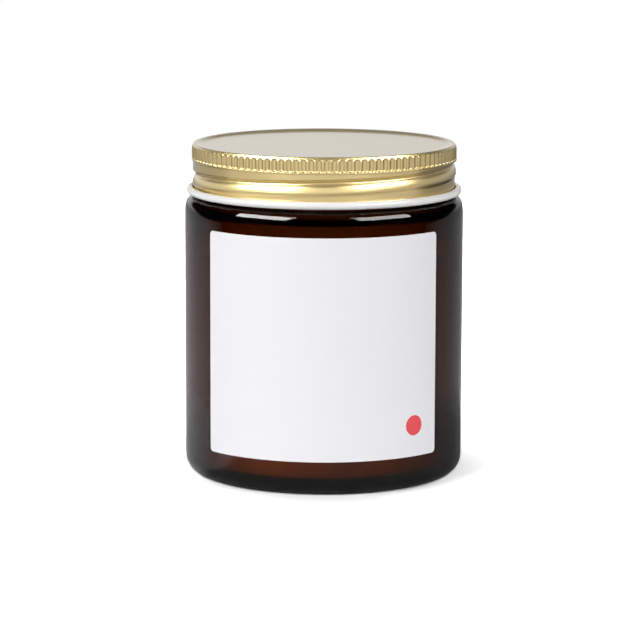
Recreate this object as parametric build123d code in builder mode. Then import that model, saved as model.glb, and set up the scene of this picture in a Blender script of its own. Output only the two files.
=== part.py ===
from build123d import *
from math import atan2, cos, degrees, pi, radians, sqrt, tan
import os

# Empty straight-sided candle jar with a one-piece screw lid and a blank paper label.
# Millimetres, +Z up. The origin is the middle of the ring that the jar stands on,
# and the middle of the label faces -Y.

# Glass body
body_radius = 33.35
body_wall = 2.6
base_thickness = 4.4
standing_ring_width = 3.45  # the flat ring that the jar stands on
punt_height = 1.2  # how far the underside rises to its middle
floor_crown = 0.6  # how far the inner floor rises to its middle
floor_corner_radius = 5.0
heel_width = 3.1  # the heel is a quarter ellipse, this far in along the base
heel_height = 4.3
shoulder_height = 66.9
shoulder_radius = 2.5
inner_shoulder_drop = 2.0  # from the shoulder down to where the bore starts to widen
inner_shoulder_length = 3.2

# Glass neck, the 63-400 screw finish
neck_inset = 3.5  # from the body's side in to the neck
neck_wall = 2.25
neck_root_fillet = 0.4
finish_height = 10.5  # from the shoulder to the rim
rim_radius = 0.8  # rounding on both sides of the rim's flat sealing land
thread_pitch = 5.08
thread_depth = 1.15
thread_section_radius = 1.2
thread_turns = 0.85  # at full depth, without the run-outs
thread_drop = 2.1  # from the rim down to the middle of the thread's top end
run_out_turns = 1 / 6  # each end of a thread fades away over this part of a turn

# Lid, drawn and rolled from one tinplate disc
sheet = 0.25
skirt_clearance = 0.15  # between the glass thread and the skirt
groove_depth = 0.8
groove_section_radius = 1.3
groove_turns = 0.87
groove_drop = 4.3  # from the jar's rim down to the rolled thread where it passes -Y
groove_end_angle = -5.0
thread_clearance = 0.1  # between the rolled thread and the glass thread's underside
knurl_step = 0.35  # how far the knurled band stands out from the skirt
knurl_top_drop = 0.1  # the ring on top falls this much to the knurled corner
knurl_corner_radius = 1.3
knurl_height = 4.0  # from the ring's crest down to the band's lower edge
knurl_edge_radius = 0.15
flute_spacing = 1.78  # from one flute to the next round the band
flute_section_radius = 0.8
flute_rise = 1.2  # from the band's lower edge up to the round end's centre
ring_width = 4.55  # from the knurled band in to the panel's edge
panel_depth = 0.85  # the middle panel lies this far below the ring's crest
ring_slope_width = 1.0  # from the panel's edge out to the ring's crest
ring_fillet = 0.5
curl_radius = 0.9
curl_clearance = 0.35  # between the curled edge and the glass shoulder
curl_angle = 300.0  # how far round the edge is rolled

# Liner
liner_thickness = 0.8
liner_clearance = 0.25

# Label
label_width = 60.8  # along the curve
label_bottom = 8.2
label_top_gap = 3.6  # from the label up to where the shoulder starts to curve
label_thickness = 0.1
label_corner_radius = 1.0
adhesive_film = 0.02

# Sizes that follow
body_bore_radius = body_radius - body_wall
standing_ring_radius = body_radius - heel_width - standing_ring_width
neck_radius = body_radius - neck_inset
mouth_radius = neck_radius - neck_wall
jar_height = shoulder_height + finish_height
skirt_inner_radius = neck_radius + thread_depth + skirt_clearance
skirt_radius = skirt_inner_radius + sheet
knurl_radius = skirt_radius + knurl_step
flute_count = round(2 * pi * knurl_radius / flute_spacing)
panel_radius = knurl_radius - ring_width
panel_underside = jar_height + liner_thickness
panel_height = panel_underside + sheet
crest_height = panel_height + panel_depth
knurl_bottom_height = crest_height - knurl_height
groove_front_height = jar_height - groove_drop
curl_height = shoulder_height + curl_clearance + curl_radius
label_inner_radius = body_radius + adhesive_film
label_height = shoulder_height - shoulder_radius - label_top_gap - label_bottom


def dome(edge_radius, edge_height, rise):
    """Arc from the axis down to an edge, level where it meets the axis."""
    radius = (edge_radius**2 + rise**2) / (2 * rise)
    return RadiusArc((0, edge_height + rise), (edge_radius, edge_height), radius)


def thread_path(radius, height, angle, turns, end_shift):
    """Right-hand helix that ends at this height and angle, plus a run-out at each end.

    The run-outs are conical, so that what is swept along them leaves the wall:
    end_shift is how far they go outwards, or inwards if it is negative.
    """
    run_out_height = thread_pitch * run_out_turns
    cone = degrees(atan2(end_shift, run_out_height))
    cone_pitch = thread_pitch / cos(radians(cone))
    start_height = height - thread_pitch * turns
    low = Helix(
        cone_pitch,
        run_out_height,
        radius + end_shift,
        center=(0, 0, start_height - run_out_height),
        cone_angle=-cone,
    )
    middle = Helix(thread_pitch, thread_pitch * turns, radius, center=(0, 0, start_height))
    high = Helix(cone_pitch, run_out_height, radius, center=(0, 0, height), cone_angle=cone)
    start_angle = angle - 360 * turns
    return Wire(
        [
            low.rotate(Axis.Z, start_angle - 360 * run_out_turns),
            middle.rotate(Axis.Z, start_angle),
            high.rotate(Axis.Z, angle),
        ]
    )


def path_start(path):
    """Plane across a path where it starts."""
    return Plane(origin=path @ 0, z_dir=path % 0)


# The rolled groove in the skirt. Its inner side is the thread that grips the glass.
groove_radius = skirt_radius - groove_depth + groove_section_radius
groove_end_height = groove_front_height + thread_pitch * (groove_end_angle + 90) / 360
groove_path = thread_path(
    groove_radius, groove_end_height, groove_end_angle, groove_turns, groove_depth
)

# The glass thread lies just above it all the way round.
thread_radius = neck_radius + thread_depth - thread_section_radius
thread_spacing = thread_section_radius + groove_section_radius + sheet + thread_clearance
thread_rise = sqrt(thread_spacing**2 - (groove_radius - thread_radius) ** 2)
thread_end_height = jar_height - thread_drop
thread_end_angle = -90 + 360 * (
    (thread_end_height - groove_front_height - thread_rise) / thread_pitch
)
glass_thread_path = thread_path(
    thread_radius, thread_end_height, thread_end_angle, thread_turns, -thread_depth
)

# Glass jar: the solid outer form with its thread, then the hollow
with BuildPart() as glass_jar:
    with BuildSketch(Plane.XZ):
        with BuildLine():
            underside = dome(standing_ring_radius, 0, punt_height)
            Line(underside @ 1, (body_radius - heel_width, 0))
            heel = EllipticalCenterArc(
                (body_radius - heel_width, heel_height), heel_width, heel_height, -90, arc_size=90
            )
            side = Line(heel @ 1, (body_radius, shoulder_height - shoulder_radius))
            shoulder = CenterArc(
                (body_radius - shoulder_radius, shoulder_height - shoulder_radius),
                shoulder_radius,
                0,
                90,
            )
            neck = FilletPolyline(
                shoulder @ 1,
                (neck_radius, shoulder_height),
                (neck_radius, jar_height),
                (mouth_radius, jar_height),
                radius=(neck_root_fillet, rim_radius),
            )
            Polyline(neck @ 1, (0, jar_height), underside @ 0)
        make_face()
    revolve(axis=Axis.Z)

    with BuildSketch(path_start(glass_thread_path)):
        Circle(thread_section_radius)
    sweep(path=glass_thread_path)

    with BuildSketch(Plane.XZ):
        with BuildLine():
            floor_edge_radius = body_bore_radius - floor_corner_radius
            floor = dome(floor_edge_radius, base_thickness, floor_crown)
            corner = CenterArc(
                (floor_edge_radius, base_thickness + floor_corner_radius),
                floor_corner_radius,
                -90,
                90,
            )
            bore_top = shoulder_height - inner_shoulder_drop - inner_shoulder_length
            wall = Line(corner @ 1, (body_bore_radius, bore_top))
            flare = Spline(
                wall @ 1,
                (mouth_radius, bore_top + inner_shoulder_length),
                tangents=((0, 1), (0, 1)),
            )
            mouth = Line(flare @ 1, (mouth_radius, jar_height - rim_radius))
            lip = CenterArc(
                (mouth_radius + rim_radius, jar_height - rim_radius), rim_radius, 180, -90
            )
            Polyline(lip @ 1, (0, jar_height), floor @ 0)
        make_face()
    revolve(axis=Axis.Z, mode=Mode.SUBTRACT)

# The space inside the lid, one sheet away from the outer form
slope_shift = sheet * tan(atan2(panel_depth, ring_slope_width) / 2)
with BuildPart() as lid_hollow:
    with BuildSketch(Plane.XZ):
        with BuildLine():
            ceiling = FilletPolyline(
                (0, panel_underside),
                (panel_radius + slope_shift, panel_underside),
                (panel_radius + ring_slope_width + slope_shift, crest_height - sheet),
                (skirt_inner_radius, crest_height - sheet - knurl_top_drop),
                (skirt_inner_radius, 0),
                radius=(ring_fillet + sheet, ring_fillet - sheet, knurl_corner_radius - sheet),
            )
            Polyline(ceiling @ 1, (0, 0), ceiling @ 0)
        make_face()
    revolve(axis=Axis.Z)

    with BuildSketch(path_start(groove_path)):
        Circle(groove_section_radius + sheet)
    sweep(path=groove_path, mode=Mode.SUBTRACT)

# Round-ended cutter for one flute of the knurled band
flute_foot = knurl_bottom_height + flute_rise
with BuildPart() as flute_cutter:
    with BuildSketch(Plane.XZ):
        with BuildLine():
            flute_end = CenterArc((0, 0), flute_section_radius, -90, 90)
            Polyline(
                flute_end @ 1,
                (flute_section_radius, crest_height - flute_foot),
                (0, crest_height - flute_foot),
                flute_end @ 0,
            )
        make_face()
    revolve(axis=Axis.Z)

# Lid: the outer form with its knurling and thread, then the hollow and the curled edge
with BuildPart() as lid_shell:
    with BuildSketch(Plane.XZ):
        with BuildLine():
            outside = FilletPolyline(
                (0, panel_height),
                (panel_radius, panel_height),
                (panel_radius + ring_slope_width, crest_height),
                (knurl_radius, crest_height - knurl_top_drop),
                (knurl_radius, knurl_bottom_height),
                (skirt_radius, knurl_bottom_height),
                (skirt_radius, curl_height),
                radius=(
                    ring_fillet,
                    ring_fillet,
                    knurl_corner_radius,
                    knurl_edge_radius,
                    knurl_edge_radius,
                ),
            )
            Polyline(outside @ 1, (0, curl_height), outside @ 0)
        make_face()
    revolve(axis=Axis.Z)

    with Locations((0, 0, flute_foot)):
        with PolarLocations(
            skirt_radius + flute_section_radius, flute_count, start_angle=180 / flute_count
        ):
            add(flute_cutter.part, mode=Mode.SUBTRACT)

    with BuildSketch(path_start(groove_path)):
        Circle(groove_section_radius)
    sweep(path=groove_path, mode=Mode.SUBTRACT)

    add(lid_hollow.part, mode=Mode.SUBTRACT)

    with BuildSketch(Plane.XZ):
        with BuildLine():
            curl_centre = (skirt_inner_radius + curl_radius, curl_height)
            roll = CenterArc(curl_centre, curl_radius, 180, curl_angle)
            inner_roll = CenterArc(curl_centre, curl_radius - sheet, 180, curl_angle)
            Line(roll @ 0, inner_roll @ 0)
            Line(roll @ 1, inner_roll @ 1)
        make_face()
    revolve(axis=Axis.Z)

# Sealing disc that lies under the panel and rests on the rim
with BuildPart() as lid_liner:
    with BuildSketch(Plane.XY.offset(jar_height)):
        Circle(skirt_inner_radius - liner_clearance)
    extrude(amount=liner_thickness)

# Paper label, wrapped round the front of the body
label_angle = degrees(label_width / label_inner_radius)
with BuildPart() as front_label:
    with BuildSketch(Plane.XY.offset(label_bottom)):
        with BuildLine():
            label_start = -90 - label_angle / 2
            back = CenterArc((0, 0), label_inner_radius, label_start, label_angle)
            front = CenterArc(
                (0, 0), label_inner_radius + label_thickness, label_start, label_angle
            )
            Line(back @ 0, front @ 0)
            Line(back @ 1, front @ 1)
        make_face()
    extrude(amount=label_height)
    fillet(front_label.edges().group_by(SortBy.LENGTH)[0], label_corner_radius)

os.makedirs("parts", exist_ok=True)

glass_jar.part.label = "glass_jar"
export_step(glass_jar.part, "parts/glass_jar.step")

lid_shell.part.label = "lid_shell"
export_step(lid_shell.part, "parts/lid_shell.step")

lid_liner.part.label = "lid_liner"
export_step(lid_liner.part, "parts/lid_liner.step")

front_label.part.label = "front_label"
export_step(front_label.part, "parts/front_label.step")
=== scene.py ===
import bpy
from math import atan2, cos, degrees, hypot, pi, radians, sin, sqrt, tan, tau
from mathutils import Matrix, Vector


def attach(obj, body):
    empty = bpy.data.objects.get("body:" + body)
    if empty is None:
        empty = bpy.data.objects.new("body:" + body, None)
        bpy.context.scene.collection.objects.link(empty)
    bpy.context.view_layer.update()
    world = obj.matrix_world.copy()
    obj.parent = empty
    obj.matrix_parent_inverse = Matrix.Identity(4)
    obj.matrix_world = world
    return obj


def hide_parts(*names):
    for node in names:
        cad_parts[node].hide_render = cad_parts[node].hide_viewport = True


# Looks for an empty amber candle jar with a gold screw lid and a blank paper label.
# Lengths on the jar and of the camera are in millimetres, and go through mm into metres.
# The studio's lengths are in metres, and angles are in degrees.

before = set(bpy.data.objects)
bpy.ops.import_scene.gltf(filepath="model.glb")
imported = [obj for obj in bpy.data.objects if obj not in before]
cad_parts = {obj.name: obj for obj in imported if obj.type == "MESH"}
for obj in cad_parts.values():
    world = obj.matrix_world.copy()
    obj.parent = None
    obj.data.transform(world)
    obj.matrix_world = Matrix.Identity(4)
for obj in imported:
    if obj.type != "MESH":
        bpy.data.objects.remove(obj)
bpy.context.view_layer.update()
mm = 0.001
same_place = 1e-6  # metres: points closer than this are one point

# Sizes on the jar that more than one shape or material needs
body_radius = 33.35
neck_radius = 29.85
neck_foot = 67.6
rim_height = 77.4
mouth_radius = 27.6
inner_radius = 30.75  # of the hollow inside the body
pitch = 5.08  # of the screw thread, which glass and lid share
run_out = 60  # the turn in which a thread sinks away at each of its ends

panel_height = 78.8
flutes = 112
band_radius = 31.65  # of the fluted band, over the ridges between the flutes
flute_floor = 31.25  # how far in the flutes go
band_middle = 77.05  # the height halfway up the flutes
half_band = 1.55  # and from there to their ends

label_radius = 33.37
label_width = 60.8  # along the curve
label_bottom = 8.2
label_top = 60.8
dot_radius = 2.4
dot_side = 23.3  # along the label, from its middle
dot_height = 15.6

# Camera: a long lens, a little above the lid
aim_height = 36.23
camera_distance = 792.1
camera_height_angle = 9.506
camera_side_angle = 0.57
camera_roll = 0.177

camera = bpy.data.objects.new("camera", bpy.data.cameras.new("camera"))
bpy.context.scene.collection.objects.link(camera)
camera.data.sensor_width = 36
camera.data.lens = 184.65
camera.data.shift_x = -0.00585
camera.data.clip_start = 0.05
camera.data.clip_end = 50
turn = (
    Matrix.Rotation(radians(camera_side_angle), 4, "Z")
    @ Matrix.Rotation(radians(90 - camera_height_angle), 4, "X")
)
camera.matrix_world = (
    Matrix.Translation((0, 0, aim_height * mm))
    @ turn
    @ Matrix.Translation((0, 0, camera_distance * mm))
    @ Matrix.Rotation(radians(camera_roll), 4, "Z")
)
bpy.context.scene.camera = camera
bpy.context.scene.view_settings.view_transform = "Standard"


# Materials

def colour(code):
    """Linear colour from an sRGB hex code."""
    parts = [int(code[i : i + 2], 16) / 255 for i in (1, 3, 5)]
    return [p / 12.92 if p <= 0.04045 else ((p + 0.055) / 1.055) ** 2.4 for p in parts] + [1]


def add_node(tree, kind, settings=None, inputs=None, links=None):
    """Adds a node with its settings, its sockets' own values and what is linked into it."""
    node = tree.nodes.new(kind)
    for name, value in (settings or {}).items():
        setattr(node, name, value)
    for name, value in (inputs or {}).items():
        node.inputs[name].default_value = value
    for name, socket in (links or {}).items():
        tree.links.new(socket, node.inputs[name])
    return node


def new_material(name):
    """An empty material and its node tree."""
    material = bpy.data.materials.new(name)
    material.use_nodes = True
    material.node_tree.nodes.clear()
    return material, material.node_tree


def per_metre(size):
    """Texture scale for a pattern whose features are this many millimetres."""
    return 1 / (size * mm)


def amber_glass():
    """Pressed soda-lime glass, nearly black where it is thick and brown where it thins out.

    The mould leaves the outside a little wavy, so reflections swim slightly.
    """
    material, tree = new_material("amber_soda_lime_glass")
    where = add_node(tree, "ShaderNodeTexCoord")
    ripple = add_node(
        tree,
        "ShaderNodeTexNoise",
        inputs={"Scale": per_metre(14), "Detail": 1.0},
        links={"Vector": where.outputs["Object"]},
    )
    bump = add_node(
        tree,
        "ShaderNodeBump",
        inputs={"Strength": 0.6, "Distance": 0.03 * mm},
        links={"Height": ripple.outputs["Fac"]},
    )
    surface = add_node(
        tree,
        "ShaderNodeBsdfPrincipled",
        inputs={
            "Base Color": colour("#FFFFFF"),
            "Roughness": 0.0,
            "IOR": 1.52,
            "Transmission Weight": 1.0,
        },
        links={"Normal": bump.outputs["Normal"]},
    )
    tint = add_node(
        tree,
        "ShaderNodeVolumeAbsorption",
        inputs={"Color": colour("#C89A00"), "Density": 1000.0},
    )
    add_node(
        tree,
        "ShaderNodeOutputMaterial",
        links={"Surface": surface.outputs["BSDF"], "Volume": tint.outputs["Volume"]},
    )
    return material


def gold_lacquered_tinplate():
    """Rolled tinplate under a stoved gold lacquer, a warm satin metal.

    The rolling leaves a faint grain along the sheet, drawn coarser than it is so that it shows.
    Each flute's walls are painted a darker colour, a painted shade that draws a darker line down
    each.
    """
    material, tree = new_material("gold_lacquered_tinplate")
    where = add_node(tree, "ShaderNodeTexCoord")
    stretch = add_node(
        tree,
        "ShaderNodeMapping",
        inputs={"Scale": (0.06, 1.0, 1.0)},
        links={"Vector": where.outputs["Object"]},
    )
    grain = add_node(
        tree,
        "ShaderNodeTexNoise",
        inputs={"Scale": per_metre(0.5), "Detail": 2.0},
        links={"Vector": stretch.outputs["Vector"]},
    )
    sheen = add_node(
        tree,
        "ShaderNodeMapRange",
        inputs={"To Min": 0.27, "To Max": 0.33},
        links={"Value": grain.outputs["Fac"]},
    )
    bump = add_node(
        tree,
        "ShaderNodeBump",
        inputs={"Strength": 0.05, "Distance": 0.002 * mm},
        links={"Height": grain.outputs["Fac"]},
    )
    level = add_node(
        tree,
        "ShaderNodeVectorMath",
        {"operation": "MULTIPLY"},
        inputs={1: (1, 1, 0)},
        links={0: where.outputs["Object"]},
    )
    radius = add_node(
        tree,
        "ShaderNodeVectorMath",
        {"operation": "LENGTH"},
        links={0: level.outputs["Vector"]},
    )
    # Painted shade: the colour darkens halfway down each flute wall, within the band's height
    depth = add_node(
        tree,
        "ShaderNodeMapRange",
        inputs={"From Min": band_radius * mm, "From Max": flute_floor * mm},
        links={"Value": radius.outputs["Value"]},
    )
    wall = add_node(
        tree,
        "ShaderNodeMath",
        {"operation": "PINGPONG"},
        {1: 0.5},
        {0: depth.outputs["Result"]},
    )
    split = add_node(tree, "ShaderNodeSeparateXYZ", links={"Vector": where.outputs["Object"]})
    in_band = add_node(
        tree,
        "ShaderNodeMath",
        {"operation": "COMPARE"},
        {1: band_middle * mm, 2: half_band * mm},
        {0: split.outputs["Z"]},
    )
    painted_flute_shade = add_node(
        tree,
        "ShaderNodeMath",
        {"operation": "MULTIPLY"},
        links={0: wall.outputs["Value"], 1: in_band.outputs["Value"]},
    )
    # The gold colour, turned dark brown where the painted flute shade falls
    lacquer = add_node(
        tree,
        "ShaderNodeMixRGB",
        inputs={"Color1": colour("#E0C98C"), "Color2": colour("#4A3208")},
        links={"Fac": painted_flute_shade.outputs["Value"]},
    )
    surface = add_node(
        tree,
        "ShaderNodeBsdfPrincipled",
        inputs={"Metallic": 1.0, "Coat Weight": 1.0, "Coat Roughness": 0.12},
        links={
            "Base Color": lacquer.outputs["Color"],
            "Roughness": sheen.outputs["Result"],
            "Normal": bump.outputs["Normal"],
        },
    )
    add_node(tree, "ShaderNodeOutputMaterial", links={"Surface": surface.outputs["BSDF"]})
    return material


def white_enamel():
    """Stoved white enamel on the inside of the sheet, glossy, with a slight orange peel."""
    material, tree = new_material("white_stoved_enamel")
    where = add_node(tree, "ShaderNodeTexCoord")
    orange_peel = add_node(
        tree,
        "ShaderNodeTexNoise",
        inputs={"Scale": per_metre(1.5), "Detail": 1.0},
        links={"Vector": where.outputs["Object"]},
    )
    bump = add_node(
        tree,
        "ShaderNodeBump",
        inputs={"Strength": 0.2, "Distance": 0.01 * mm},
        links={"Height": orange_peel.outputs["Fac"]},
    )
    surface = add_node(
        tree,
        "ShaderNodeBsdfPrincipled",
        inputs={"Base Color": colour("#EDEDEC"), "Roughness": 0.25},
        links={"Normal": bump.outputs["Normal"]},
    )
    add_node(tree, "ShaderNodeOutputMaterial", links={"Surface": surface.outputs["BSDF"]})
    return material


def coated_paper():
    """Coated white label paper with a plain red dot printed low on its right side.

    The fibres under the coating are drawn coarser than they are, so that they show.
    """
    material, tree = new_material("coated_label_paper")
    where = add_node(tree, "ShaderNodeTexCoord")
    split = add_node(tree, "ShaderNodeSeparateXYZ", links={"Vector": where.outputs["Object"]})
    front = add_node(
        tree,
        "ShaderNodeMath",
        {"operation": "MULTIPLY"},
        {1: -1.0},
        {0: split.outputs["Y"]},
    )
    angle = add_node(
        tree,
        "ShaderNodeMath",
        {"operation": "ARCTAN2"},
        links={0: split.outputs["X"], 1: front.outputs["Value"]},
    )
    along = add_node(
        tree,
        "ShaderNodeMath",
        {"operation": "MULTIPLY"},
        {1: label_radius * mm},
        {0: angle.outputs["Value"]},
    )
    flat = add_node(
        tree,
        "ShaderNodeCombineXYZ",
        links={"X": along.outputs["Value"], "Y": split.outputs["Z"]},
    )
    reach = add_node(
        tree,
        "ShaderNodeVectorMath",
        {"operation": "DISTANCE"},
        {1: (dot_side * mm, dot_height * mm, 0)},
        {0: flat.outputs["Vector"]},
    )
    inked = add_node(
        tree,
        "ShaderNodeMath",
        {"operation": "LESS_THAN"},
        {1: dot_radius * mm},
        {0: reach.outputs["Value"]},
    )
    fibres = add_node(
        tree,
        "ShaderNodeTexNoise",
        inputs={"Scale": per_metre(0.4), "Detail": 4.0},
        links={"Vector": where.outputs["Object"]},
    )
    paper = add_node(
        tree,
        "ShaderNodeMixRGB",
        inputs={"Color1": colour("#E7E7EA"), "Color2": colour("#EBEBEE")},
        links={"Fac": fibres.outputs["Fac"]},
    )
    printed = add_node(
        tree,
        "ShaderNodeMixRGB",
        inputs={"Color2": colour("#E8434B")},
        links={"Fac": inked.outputs["Value"], "Color1": paper.outputs["Color"]},
    )
    bump = add_node(
        tree,
        "ShaderNodeBump",
        inputs={"Strength": 0.1, "Distance": 0.01 * mm},
        links={"Height": fibres.outputs["Fac"]},
    )
    surface = add_node(
        tree,
        "ShaderNodeBsdfPrincipled",
        inputs={"Roughness": 0.55},
        links={"Base Color": printed.outputs["Color"], "Normal": bump.outputs["Normal"]},
    )
    add_node(tree, "ShaderNodeOutputMaterial", links={"Surface": surface.outputs["BSDF"]})
    return material


def liner_foam():
    """Expanded polyethylene foam, white and dull, with its closed cells as a fine pebble."""
    material, tree = new_material("expanded_polyethylene_foam")
    where = add_node(tree, "ShaderNodeTexCoord")
    cells = add_node(
        tree,
        "ShaderNodeTexVoronoi",
        inputs={"Scale": per_metre(0.6)},
        links={"Vector": where.outputs["Object"]},
    )
    bump = add_node(
        tree,
        "ShaderNodeBump",
        inputs={"Strength": 0.4, "Distance": 0.05 * mm},
        links={"Height": cells.outputs["Distance"]},
    )
    surface = add_node(
        tree,
        "ShaderNodeBsdfPrincipled",
        inputs={"Base Color": colour("#ECECE8"), "Roughness": 0.7},
        links={"Normal": bump.outputs["Normal"]},
    )
    add_node(tree, "ShaderNodeOutputMaterial", links={"Surface": surface.outputs["BSDF"]})
    return material


# Modelling, as by hand: a corner is drawn out into a profile, rounded, and spun about the axis

def deselect_all():
    bpy.ops.object.select_all(action="DESELECT")


def draw_profile(name, points):
    """Draws an open line through (radius, height) points, each drawn out of the last one.

    A third number in a point is the radius that rounds it, and a fourth is in how many steps.
    """
    deselect_all()
    bpy.ops.mesh.primitive_plane_add(size=mm)
    piece = bpy.context.object
    piece.name = name
    piece.data.name = name
    bpy.ops.object.mode_set(mode="EDIT")
    bpy.ops.mesh.merge(type="CENTER")
    corners = [Vector((p[0] * mm, 0, p[1] * mm)) for p in points]
    bpy.ops.transform.translate(value=corners[0])
    for last, corner in zip(corners, corners[1:]):
        bpy.ops.mesh.extrude_region_move(TRANSFORM_OT_translate={"value": corner - last})
    for i, point in enumerate(points):
        if len(point) > 2:
            bend = (corners[i] - corners[i - 1]).angle(corners[i + 1] - corners[i])
            select_points(piece, lambda co: (co - corners[i]).length < same_place)
            bpy.ops.mesh.bevel(
                offset=point[2] * mm * tan(bend / 2),
                segments=point[3],
                affect="VERTICES",
            )
    bpy.ops.object.mode_set(mode="OBJECT")
    return piece


def select_points(piece, wanted):
    """Selects the vertices whose place passes the test, in edit mode."""
    bpy.ops.object.mode_set(mode="EDIT")
    bpy.ops.mesh.select_mode(type="VERT")
    bpy.ops.mesh.select_all(action="DESELECT")
    bpy.ops.object.mode_set(mode="OBJECT")
    for vertex in piece.data.vertices:
        vertex.select = wanted(vertex.co)
    bpy.ops.object.mode_set(mode="EDIT")


def arc(middle, radii, start, stop, steps):
    """Points along an ellipse's arc, from start to stop in degrees."""
    angles = [radians(start + (stop - start) * i / steps) for i in range(steps + 1)]
    return [(middle[0] + radii[0] * cos(a), middle[1] + radii[1] * sin(a)) for a in angles]


def spin_round(piece, steps, angle=tau):
    """Spins the whole mesh about the axis, anticlockwise from above.

    The operator counts its angle the other way.
    """
    make_active(piece)
    bpy.ops.object.mode_set(mode="EDIT")
    bpy.ops.mesh.select_all(action="SELECT")
    bpy.ops.mesh.spin(steps=steps, angle=-angle, center=(0, 0, 0), axis=(0, 0, 1))
    bpy.ops.mesh.select_all(action="SELECT")
    bpy.ops.mesh.remove_doubles(threshold=same_place)
    bpy.ops.object.mode_set(mode="OBJECT")


def make_active(piece):
    deselect_all()
    piece.select_set(True)
    bpy.context.view_layer.objects.active = piece


def move_by_weight(piece, name, amount, reach, direction):
    """Moves each vertex by its weight, amount(place), of reach millimetres.

    The direction is an axis or NORMAL, and no weight goes above 1.
    """
    group = piece.vertex_groups.new(name=name)
    for vertex in piece.data.vertices:
        weight = amount(vertex.co)
        if weight > 0:
            group.add([vertex.index], weight, "REPLACE")
    make_active(piece)
    lift = piece.modifiers.new(name, "DISPLACE")
    lift.vertex_group = name
    lift.direction = direction
    lift.mid_level = 0
    lift.strength = reach * mm
    bpy.ops.object.modifier_apply(modifier=name)
    piece.vertex_groups.remove(piece.vertex_groups[name])


def face_outwards(piece):
    make_active(piece)
    bpy.ops.object.mode_set(mode="EDIT")
    bpy.ops.mesh.select_all(action="SELECT")
    bpy.ops.mesh.normals_make_consistent(inside=False)
    bpy.ops.object.mode_set(mode="OBJECT")


def give_thickness(piece, thickness, offset, inner_material=0):
    """Turns a surface into a sheet. The offset is -1 for inwards and 1 for outwards."""
    make_active(piece)
    wall = piece.modifiers.new("wall", "SOLIDIFY")
    wall.thickness = thickness * mm
    wall.offset = offset
    wall.use_even_offset = True
    wall.material_offset = inner_material
    wall.material_offset_rim = inner_material
    bpy.ops.object.modifier_apply(modifier="wall")


def smooth(piece, angle=35):
    make_active(piece)
    bpy.ops.object.shade_smooth_by_angle(angle=radians(angle))


def ease(share):
    """0 to 1 with a level start and finish."""
    share = min(max(share, 0), 1)
    return share * share * (3 - 2 * share)


# Screw thread. Its angle is counted from the front, -Y, towards +X, and it rises that way.

def turns_at(place):
    """The angle at a place, in the thread's upper turn and in the lower one."""
    angle = degrees(atan2(place.x, -place.y))
    return angle, angle - 360


# Glass jar

thread_bead = 1.2  # radius of the glass thread's round section
bead_sink = 0.05  # how far its middle lies inside the neck
glass_thread_start = 19.34  # the thread is whole from this angle
glass_thread_end = -286.66  # down to this one
glass_thread_top = 75.3  # its height at the first of them


def glass_thread_height(place):
    """How far the thread stands out of the neck, in millimetres."""
    if abs(hypot(place.x, place.y) / mm - neck_radius) > 0.01 or place.z / mm < neck_foot - 0.1:
        return 0
    best = 0
    for angle in turns_at(place):
        off = place.z / mm - (glass_thread_top + pitch * (angle - glass_thread_start) / 360)
        fade = ease((glass_thread_start + run_out - angle) / run_out)
        fade *= ease((angle - glass_thread_end + run_out) / run_out)
        best = max(best, fade * (sqrt(max(thread_bead**2 - off * off, 0)) - bead_sink))
    return best


def make_glass_jar():
    """The jar in one profile, from under its base up the outside and down the inside.

    The wall is thickest under the shoulder and thins out downwards, so that more light comes
    through lower down.
    """
    hollow = arc((0, -298.5), (299.7, 299.7), 90, 84.871, 5)
    heel = arc((30.25, 4.3), (3.1, 4.3), -90, 0, 12)
    lean_start = 61.8  # the body leans in a little before the shoulder turns
    lean = [
        (body_radius - 0.3 * ((z - lean_start) / 3.4) ** 3.2, z)
        for z in (lean_start, 62.5, 63.2, 63.9, 64.6)
    ]
    shoulder = arc((30.67, 64.38), (2.52, 2.52), 19, 90, 10)
    neck = [(neck_radius, neck_foot + 0.25 * i) for i in range(36)]
    inner_floor = arc((0, -490.8), (495.2, 495.2), 86.642, 90, 4)
    jar = draw_profile(
        "glass_jar",
        [
            *hollow[:-1],
            (26.8, 0, 0.4, 3),
            *heel,
            (body_radius, 20),
            (body_radius, 42),
            *lean,
            *shoulder,
            (neck_radius, 66.9, 0.4, 4),
            *neck,
            (neck_radius, rim_height, 0.8, 6),
            (mouth_radius, rim_height, 0.8, 6),
            (mouth_radius, 71),
            (mouth_radius, 65.9, 0.8, 5),
            (29.6, 63.0, 1.2, 6),
            (inner_radius, 53.0, 6.0, 6),
            (inner_radius, 40),
            (inner_radius, 20),
            (inner_radius, 3.3, 1.0, 5),
            *inner_floor,
        ],
    )
    spin_round(jar, 256)
    face_outwards(jar)
    move_by_weight(
        jar, "thread", lambda co: glass_thread_height(co) / thread_bead, thread_bead, "NORMAL"
    )
    smooth(jar)
    jar.data.materials.append(amber_glass())
    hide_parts("glass_jar")
    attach(jar, "jar")


# Lid

sheet = 0.25  # thickness of the tinplate
lid_steps = 224  # faces round the lid's top, skirt and curl
flute_steps = 8  # faces across one flute of the band

flute_tool = 0.8  # radius of the round tool that cuts a flute
flute_top = 78.37  # the flute is straight between these two heights
flute_foot = 76.0
top_taper = 1.2  # how fast it runs out past them, where 1 would be a round end
foot_taper = 2.4

skirt_radius = 31.4
flat_skirt = 30.5  # the radius at which the skirt is drawn, before its shape is rolled in
roll_reach = 1.3  # more than the rolling moves it out anywhere, so that no weight goes above 1
lid_thread_start = 85  # the thread is whole from this angle
lid_thread_end = -228  # down to this one
lid_thread_height = 73.1  # of its middle, at the front

# The rolled thread in section: height over its middle, and how far it stands out of the skirt
rolled_thread = (
    (0.95, 0),
    (0.3, -0.58),
    (0.0, -0.6),
    (-0.4, -0.26),
    (-0.75, -0.08),
    (-1.3, 0.07),
    (-1.9, 0.17),
    (-2.3, 0.17),
    (-2.7, -0.02),
    (-3.1, -0.12),
)

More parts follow.
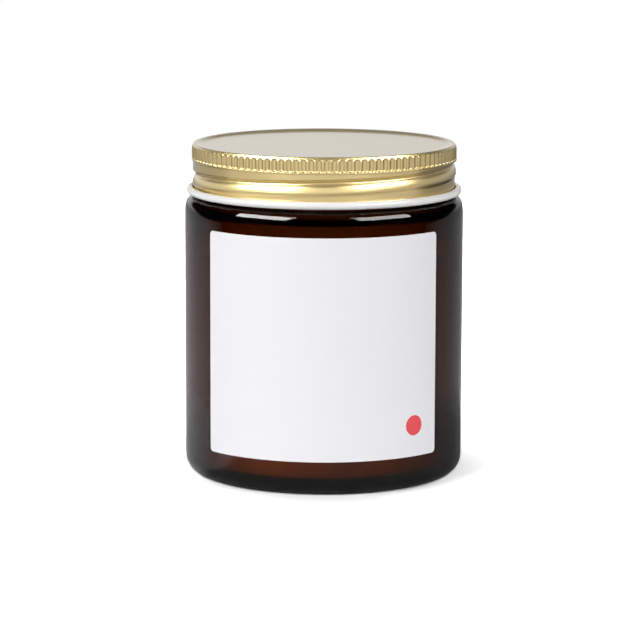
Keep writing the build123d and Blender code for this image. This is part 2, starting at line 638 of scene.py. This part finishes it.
# The pairs of open edges that are bridged, each by the two radii and two heights it lies between
open_edges = (
    (30.1, 30.5, 79.1, 79.24),  # the top's slope to the ring's crest
    (31.2, 31.5, 75.1, 75.28),  # the band to the skirt
    (30.5, 31.8, 69.05, 69.4),  # the skirt to the curl
)


def skirt_radius_at(place):
    """Radius of the skirt, with the thread rolled into it, in millimetres."""
    radius = skirt_radius
    for angle in turns_at(place):
        off = place.z / mm - (lid_thread_height + pitch * angle / 360)
        fade = ease((lid_thread_start + run_out - angle) / run_out)
        fade *= ease((angle - lid_thread_end + run_out) / run_out)
        out = rolled_thread[-1][1] if off < 0 else 0
        for (high, before), (low, after) in zip(rolled_thread, rolled_thread[1:]):
            if high >= off > low:
                out = before + (after - before) * (high - off) / (high - low)
        radius += fade * out
    return radius


def flute_depth(place):
    """How far the flute in the middle of the first strip is cut below a place, in millimetres."""
    out = hypot(place.x, place.y) / mm
    aside = out * sin(atan2(place.y, place.x) - pi / flutes)
    high = place.z / mm
    beyond = top_taper * max(high - flute_top, 0) + foot_taper * max(flute_foot - high, 0)
    cut = flute_tool**2 - aside * aside - beyond * beyond
    return max(out - (flute_floor + flute_tool - sqrt(cut)), 0) if cut > 0 else 0


def make_top():
    """The recessed panel and the slope that rises from it to the raised ring."""
    panel = [(radius, panel_height) for radius in (0, 14, 24)]
    slope = [(28.2 + 1.92 * i / 12, panel_height + 0.38 * (i / 12) ** 2) for i in range(13)]
    top = draw_profile("lid_shell", [*panel, *slope])
    spin_round(top, lid_steps)
    return top


def make_band():
    """The ring's crest and the fluted band: a strip with one flute, copied all the way round."""
    rim = [(31.36 + 0.28 * sin(0.22 * i), 78.93 - 0.1 * i) for i in range(8)]
    straight = [(band_radius, z) for z in (78.1, 77.8, 77.1, 76.4)]
    flute_feet = [(band_radius, 76.08 - 0.08 * i) for i in range(7)]
    band = draw_profile(
        "band",
        [
            (30.38, 79.235),
            (31.18, 79.34, 0.3, 6),
            *rim,
            *straight,
            *flute_feet,
            (band_radius, 75.3, 0.2, 3),
            (31.55, 75.3),
            (skirt_radius, 75.25),
        ],
    )
    spin_round(band, flute_steps, tau / flutes)
    move_by_weight(band, "flute", flute_depth, -1.0, "X")
    bpy.ops.object.mode_set(mode="EDIT")
    bpy.ops.mesh.select_all(action="SELECT")
    bpy.ops.mesh.spin(
        steps=flutes - 1,
        dupli=True,
        angle=tau * (flutes - 1) / flutes,
        center=(0, 0, 0),
        axis=(0, 0, 1),
    )
    bpy.ops.mesh.select_all(action="SELECT")
    bpy.ops.mesh.remove_doubles(threshold=same_place)
    bpy.ops.object.mode_set(mode="OBJECT")
    return band


def make_skirt():
    """The skirt below the band, with the screw thread rolled into it."""
    skirt = draw_profile("skirt", [(flat_skirt, 75.15 - 0.125 * i) for i in range(48)])
    spin_round(skirt, lid_steps)
    face_outwards(skirt)
    move_by_weight(
        skirt,
        "rolled_thread",
        lambda co: (skirt_radius_at(co) - flat_skirt) / roll_reach,
        roll_reach,
        "NORMAL",
    )
    return skirt


def make_curl():
    """The bottom edge, curled outwards so that the white inside shows under the gold."""
    roll = arc((32.05, 68.15), (0.65, 0.65), 180, 480, 20)
    curl = draw_profile("curl", [(31.25, 69.1), *roll])
    spin_round(curl, lid_steps)
    return curl


def make_lid_shell():
    lid = make_top()
    parts = (lid, make_band(), make_skirt(), make_curl())
    deselect_all()
    for part in parts:
        part.select_set(True)
    bpy.context.view_layer.objects.active = lid
    bpy.ops.object.join()
    for near, far, low, high in open_edges:
        select_points(
            lid,
            lambda co: near < hypot(co.x, co.y) / mm < far and low < co.z / mm < high,
        )
        bpy.ops.mesh.bridge_edge_loops()
        bpy.ops.object.mode_set(mode="OBJECT")
    face_outwards(lid)
    lid.data.materials.append(gold_lacquered_tinplate())
    lid.data.materials.append(white_enamel())
    give_thickness(lid, sheet, -1, 1)
    smooth(lid, 38)
    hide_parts("lid_shell")
    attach(lid, "lid")


def make_lid_liner():
    """The sealing disc, pressed in a little where it lies on the rim."""
    underside = 77.42
    dent = 77.5
    edge = 30.9
    liner = draw_profile(
        "lid_liner",
        [
            (0, underside),
            (27.3, underside),
            (27.7, dent, 0.3, 3),
            (29.7, dent, 0.3, 3),
            (30.1, underside),
            (edge, underside, 0.2, 3),
            (edge, 78.5, 0.2, 3),
            (0, 78.66),
        ],
    )
    spin_round(liner, 128)
    face_outwards(liner)
    smooth(liner)
    liner.data.materials.append(liner_foam())
    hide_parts("lid_liner")
    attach(liner, "liner")


def make_front_label():
    """The paper label: an upright line, turned to the left edge and spun to the right one."""
    paper = 0.1
    corner = 1.0  # radius of each corner
    half = label_width / label_radius / 2  # the angle from its middle to an edge, in radians
    label = draw_profile("front_label", [(label_radius, label_bottom), (label_radius, label_top)])
    make_active(label)
    bpy.ops.object.mode_set(mode="EDIT")
    bpy.ops.mesh.select_all(action="SELECT")
    bpy.ops.transform.rotate(value=pi / 2 + half, orient_axis="Z", center_override=(0, 0, 0))
    bpy.ops.object.mode_set(mode="OBJECT")
    spin_round(label, 48, 2 * half)
    edge = label_radius * sin(half) * mm
    select_points(label, lambda co: abs(abs(co.x) - edge) < 10 * same_place)
    bpy.ops.mesh.bevel(offset=corner * mm, segments=6, affect="VERTICES")
    bpy.ops.object.mode_set(mode="OBJECT")
    face_outwards(label)
    give_thickness(label, paper, 1)
    smooth(label)
    label.data.materials.append(coated_paper())
    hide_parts("front_label")
    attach(label, "jar")


make_glass_jar()
make_lid_shell()
make_lid_liner()
make_front_label()

# Studio: lengths from here on are in metres

def stage_plane(name, size, place, material, shown_to):
    """A flat board or card of the studio, in sight of only one kind of light ray.

    It is level unless its place turns it.
    """
    deselect_all()
    bpy.ops.mesh.primitive_plane_add(size=1)
    plane = bpy.context.object
    plane.name = name
    plane.data.transform(Matrix.Diagonal((size[0], size[1], 1, 1)))
    plane.matrix_world = place
    plane.data.materials.append(material)
    for ray in ("camera", "diffuse", "glossy", "transmission", "shadow"):
        setattr(plane, "visible_" + ray, ray == shown_to)


def white_board():
    """Matt white board, lit until it burns out, all but where the jar shades it.

    Its colour is painted whiter behind the jar and away from it, painted light that burns out the
    jar's shadow there, so that the shade stays close to the foot.
    """
    material, tree = new_material("white_board")
    where = add_node(tree, "ShaderNodeTexCoord")
    split = add_node(tree, "ShaderNodeSeparateXYZ", links={"Vector": where.outputs["Object"]})
    # Painted light and shade: the colour is lowest in front of the foot and rises towards the
    # back
    front = add_node(
        tree,
        "ShaderNodeMapRange",
        inputs={"From Min": -0.036, "From Max": -0.012, "To Min": 0.93, "To Max": 2.1},
        links={"Value": split.outputs["Y"]},
    )
    away = add_node(
        tree,
        "ShaderNodeVectorMath",
        {"operation": "LENGTH"},
        links={0: where.outputs["Object"]},
    )
    # Painted light: the colour rises away from the foot
    painted_light_away = add_node(
        tree,
        "ShaderNodeMapRange",
        inputs={"From Min": 0.0332, "From Max": 0.0632, "To Min": 1.0, "To Max": 2.2},
        links={"Value": away.outputs["Value"]},
    )
    shade = add_node(
        tree,
        "ShaderNodeMath",
        {"operation": "MULTIPLY"},
        links={0: front.outputs["Result"], 1: painted_light_away.outputs["Result"]},
    )
    board = add_node(tree, "ShaderNodeBsdfDiffuse", links={"Color": shade.outputs["Value"]})
    add_node(tree, "ShaderNodeOutputMaterial", links={"Surface": board.outputs["BSDF"]})
    return material


def white_card():
    """Matt white card, for the light that comes up from below."""
    material, tree = new_material("white_card")
    card = add_node(tree, "ShaderNodeBsdfDiffuse", inputs={"Color": (0.92, 0.92, 0.92, 1)})
    add_node(tree, "ShaderNodeOutputMaterial", links={"Surface": card.outputs["BSDF"]})
    return material


def finish_faded(tree, where, shader, inner, outer):
    """Ends a card's material. It is whole inside the inner radius and gone at the outer one."""
    away = add_node(
        tree,
        "ShaderNodeVectorMath",
        {"operation": "LENGTH"},
        links={0: where.outputs["Object"]},
    )
    gone = add_node(
        tree,
        "ShaderNodeMapRange",
        {"interpolation_type": "SMOOTHSTEP"},
        inputs={"From Min": inner, "From Max": outer},
        links={"Value": away.outputs["Value"]},
    )
    clear = add_node(tree, "ShaderNodeBsdfTransparent")
    mixed = add_node(
        tree,
        "ShaderNodeMixShader",
        links={"Fac": gone.outputs["Result"], 1: shader, 2: clear.outputs["BSDF"]},
    )
    add_node(tree, "ShaderNodeOutputMaterial", links={"Surface": mixed.outputs["Shader"]})


def graded_card():
    """Matt card that the foot of the glass shows, in painted shade from grey to white towards the
    back left.

    The grey stands for the jar's shadow on the table. Satin metal shows it darker than clear
    glass does, a further painted shade.
    """
    material, tree = new_material("graded_card")
    where = add_node(tree, "ShaderNodeTexCoord")
    split = add_node(tree, "ShaderNodeSeparateXYZ", links={"Vector": where.outputs["Object"]})
    across = add_node(
        tree,
        "ShaderNodeMath",
        {"operation": "SUBTRACT"},
        links={0: split.outputs["Y"], 1: split.outputs["X"]},
    )
    # Painted shade: grey towards the front right, white towards the back left
    shade = add_node(
        tree,
        "ShaderNodeMapRange",
        inputs={"From Min": 0.0132, "From Max": 0.0242, "To Min": 0.5, "To Max": 1.25},
        links={"Value": across.outputs["Value"]},
    )
    # Painted shade: all but mirror-like rays see the card darker
    ray = add_node(tree, "ShaderNodeLightPath")
    metal_painted_shade = add_node(
        tree,
        "ShaderNodeMapRange",
        inputs={"To Min": 0.35, "To Max": 1.0},
        links={"Value": ray.outputs["Is Singular Ray"]},
    )
    tone = add_node(
        tree,
        "ShaderNodeMath",
        {"operation": "MULTIPLY"},
        links={0: shade.outputs["Result"], 1: metal_painted_shade.outputs["Result"]},
    )
    card = add_node(tree, "ShaderNodeBsdfDiffuse", links={"Color": tone.outputs["Value"]})
    finish_faded(tree, where, card.outputs["BSDF"], 0.07, 0.15)
    return material


def soft_glow(name, brightness):
    """A pale part of the studio, which satin metal shows and clear glass does not."""
    material, tree = new_material(name)
    ray = add_node(tree, "ShaderNodeLightPath")
    level = add_node(
        tree,
        "ShaderNodeMapRange",
        inputs={"To Min": brightness, "To Max": 0.0},
        links={"Value": ray.outputs["Is Singular Ray"]},
    )
    light = add_node(tree, "ShaderNodeEmission", links={"Strength": level.outputs["Result"]})
    add_node(tree, "ShaderNodeOutputMaterial", links={"Surface": light.outputs["Emission"]})
    return material


def glow(name, brightness):
    """A surface that only shines, as the cloth of a softbox does."""
    material, tree = new_material(name)
    light = add_node(tree, "ShaderNodeEmission", inputs={"Strength": brightness})
    add_node(tree, "ShaderNodeOutputMaterial", links={"Surface": light.outputs["Emission"]})
    return material


def light_table():
    """What shines up through the foot of the jar, brighter to the left."""
    material, tree = new_material("light_table")
    where = add_node(tree, "ShaderNodeTexCoord")
    split = add_node(tree, "ShaderNodeSeparateXYZ", links={"Vector": where.outputs["Object"]})
    level = add_node(
        tree,
        "ShaderNodeMapRange",
        inputs={"From Min": -0.014, "From Max": 0.006, "To Min": 2.2, "To Max": 1.0},
        links={"Value": split.outputs["X"]},
    )
    light = add_node(tree, "ShaderNodeEmission", links={"Strength": level.outputs["Result"]})
    finish_faded(tree, where, light.outputs["Emission"], 0.02, 0.031)
    return material


softbox_width = 1.02
softbox_tall = 0.58
softbox_height_angle = 30.5
softbox_distance = 1.2
softbox_aim = 0.04  # height of the point that both softboxes face


def make_softbox(name, side, power, brightness):
    """A softbox at an angle to the side of the front, turned down to the jar.

    The lamp lights the jar, and the cloth is what shows in glass and metal.
    """
    place = (
        Matrix.Translation((0, 0, softbox_aim))
        @ Matrix.Rotation(radians(side), 4, "Z")
        @ Matrix.Rotation(radians(90 - softbox_height_angle), 4, "X")
        @ Matrix.Translation((0, 0, softbox_distance))
    )
    lamp = bpy.data.objects.new(name, bpy.data.lights.new(name, "AREA"))
    bpy.context.scene.collection.objects.link(lamp)
    lamp.data.shape = "RECTANGLE"
    lamp.data.size = softbox_width
    lamp.data.size_y = softbox_tall
    lamp.data.energy = power
    lamp.matrix_world = place
    lamp.visible_camera = False
    lamp.visible_glossy = False
    cloth = name + "_cloth"
    stage_plane(cloth, (softbox_width, softbox_tall), place, glow(cloth, brightness), "glossy")


# The walls' brightness by height, where 0 is straight down, 0.5 the horizon and 1 straight up
walls = (
    (0.36, 0.03),
    (0.41, 0.56),
    (0.44, 0.38),
    (0.48, 0.38),
    (0.51, 0.82),
    (0.6, 0.82),
    (0.68, 0.25),
    (0.76, 0.02),
)


def make_surroundings():
    """A studio that is pale behind the jar, most of all above the horizon, and dark elsewhere.

    The camera sees plain white instead. The pale part is narrower for clear glass, above all
    high up on either side, and the right side is dimmer, most of all for what shines through.
    """
    world = bpy.data.worlds.new("studio")
    bpy.context.scene.world = world
    world.use_nodes = True
    tree = world.node_tree
    tree.nodes.clear()
    where = add_node(tree, "ShaderNodeTexCoord")
    split = add_node(
        tree, "ShaderNodeSeparateXYZ", links={"Vector": where.outputs["Generated"]}
    )
    height = add_node(
        tree,
        "ShaderNodeMapRange",
        inputs={"From Min": -1.0, "From Max": 1.0},
        links={"Value": split.outputs["Z"]},
    )
    ramp = add_node(tree, "ShaderNodeValToRGB", links={"Fac": height.outputs["Result"]})
    bands = ramp.color_ramp.elements
    for place, brightness in walls:
        bands.new(place).color = (brightness, brightness, brightness, 1)
    # The two that a new ramp starts with
    bands.remove(bands[-1])
    bands.remove(bands[0])

    # How far behind the jar a part of the walls is. For clear glass the upper corners count as
    # further forward, and for the rest everything counts as further back.
    ray = add_node(tree, "ShaderNodeLightPath")
    lift = add_node(
        tree,
        "ShaderNodeMath",
        {"operation": "ADD"},
        {1: 0.1},
        {0: split.outputs["Z"]},
    )
    rise = add_node(
        tree,
        "ShaderNodeMath",
        {"operation": "MAXIMUM"},
        {1: 0.0},
        {0: lift.outputs["Value"]},
    )
    across = add_node(
        tree,
        "ShaderNodeMath",
        {"operation": "MULTIPLY"},
        links={0: split.outputs["X"], 1: split.outputs["X"]},
    )
    corner = add_node(
        tree,
        "ShaderNodeMath",
        {"operation": "MULTIPLY"},
        links={0: rise.outputs["Value"], 1: across.outputs["Value"]},
    )
    narrow = add_node(
        tree,
        "ShaderNodeMath",
        {"operation": "MULTIPLY_ADD"},
        {1: -10.0},
        {0: corner.outputs["Value"], 2: split.outputs["Y"]},
    )
    wide = add_node(
        tree,
        "ShaderNodeMath",
        {"operation": "ADD"},
        {1: 0.3},
        {0: split.outputs["Y"]},
    )
    extent = add_node(
        tree,
        "ShaderNodeMix",
        {"data_type": "FLOAT"},
        links={
            "Factor": ray.outputs["Is Singular Ray"],
            "A": wide.outputs["Value"],
            "B": narrow.outputs["Value"],
        },
    )
    behind = add_node(
        tree,
        "ShaderNodeMapRange",
        {"interpolation_type": "SMOOTHSTEP"},
        {"From Min": -0.1, "From Max": 0.4, "To Min": 0.015},
        {"Value": extent.outputs["Result"]},
    )

    # The walls get dimmer towards the right
    right_side = add_node(
        tree,
        "ShaderNodeMapRange",
        inputs={"To Min": 0.6, "To Max": 0.15},
        links={"Value": ray.outputs["Is Transmission Ray"]},
    )
    left = add_node(
        tree,
        "ShaderNodeMapRange",
        {"interpolation_type": "SMOOTHSTEP"},
        {"From Min": -0.1, "From Max": 0.5, "To Min": 1.0},
        {"Value": split.outputs["X"], "To Max": right_side.outputs["Result"]},
    )

    sides = add_node(
        tree,
        "ShaderNodeMath",
        {"operation": "MULTIPLY"},
        links={0: behind.outputs["Result"], 1: left.outputs["Result"]},
    )
    level = add_node(
        tree,
        "ShaderNodeMath",
        {"operation": "MULTIPLY"},
        links={0: sides.outputs["Value"], 1: ramp.outputs["Color"]},
    )
    strength = add_node(
        tree,
        "ShaderNodeMix",
        {"data_type": "FLOAT"},
        {"B": 1.0},
        {"Factor": ray.outputs["Is Camera Ray"], "A": level.outputs["Value"]},
    )
    light = add_node(
        tree,
        "ShaderNodeBackground",
        inputs={"Color": colour("#FFFFFF")},
        links={"Strength": strength.outputs["Result"]},
    )
    add_node(tree, "ShaderNodeOutputWorld", links={"Surface": light.outputs["Background"]})


# The floor that the camera sees, and what the other rays find in its place
ground = Matrix.Identity(4)
under_floor = Matrix.Translation((0, 0, -0.0001))
stage_plane("floor", (1.2, 1.2), ground, white_board(), "camera")
stage_plane("graded_card", (0.3, 0.3), under_floor, graded_card(), "glossy")
stage_plane("white_card", (0.6, 0.6), under_floor, white_card(), "diffuse")
stage_plane("light_table", (0.064, 0.064), under_floor, light_table(), "transmission")

# What gold and enamel show of the rest of the studio
table_place = Matrix.Translation((0, -0.7, -0.0002))
stage_plane("table", (2.4, 1.4), table_place, soft_glow("table", 0.72), "glossy")
front_place = Matrix.Translation((0, -1.5, 0.42)) @ Matrix.Rotation(radians(-90), 4, "X")
stage_plane("front_wall", (3.2, 0.84), front_place, soft_glow("front_wall", 1.0), "glossy")
ceiling_place = Matrix.Translation((0, 0.8, 1.2))
stage_plane("ceiling", (3.0, 3.3), ceiling_place, soft_glow("ceiling", 0.28), "glossy")

make_softbox("left_softbox", -54, 12.3, 14.5)
make_softbox("right_softbox", 54, 9.4, 8.5)
make_surroundings()
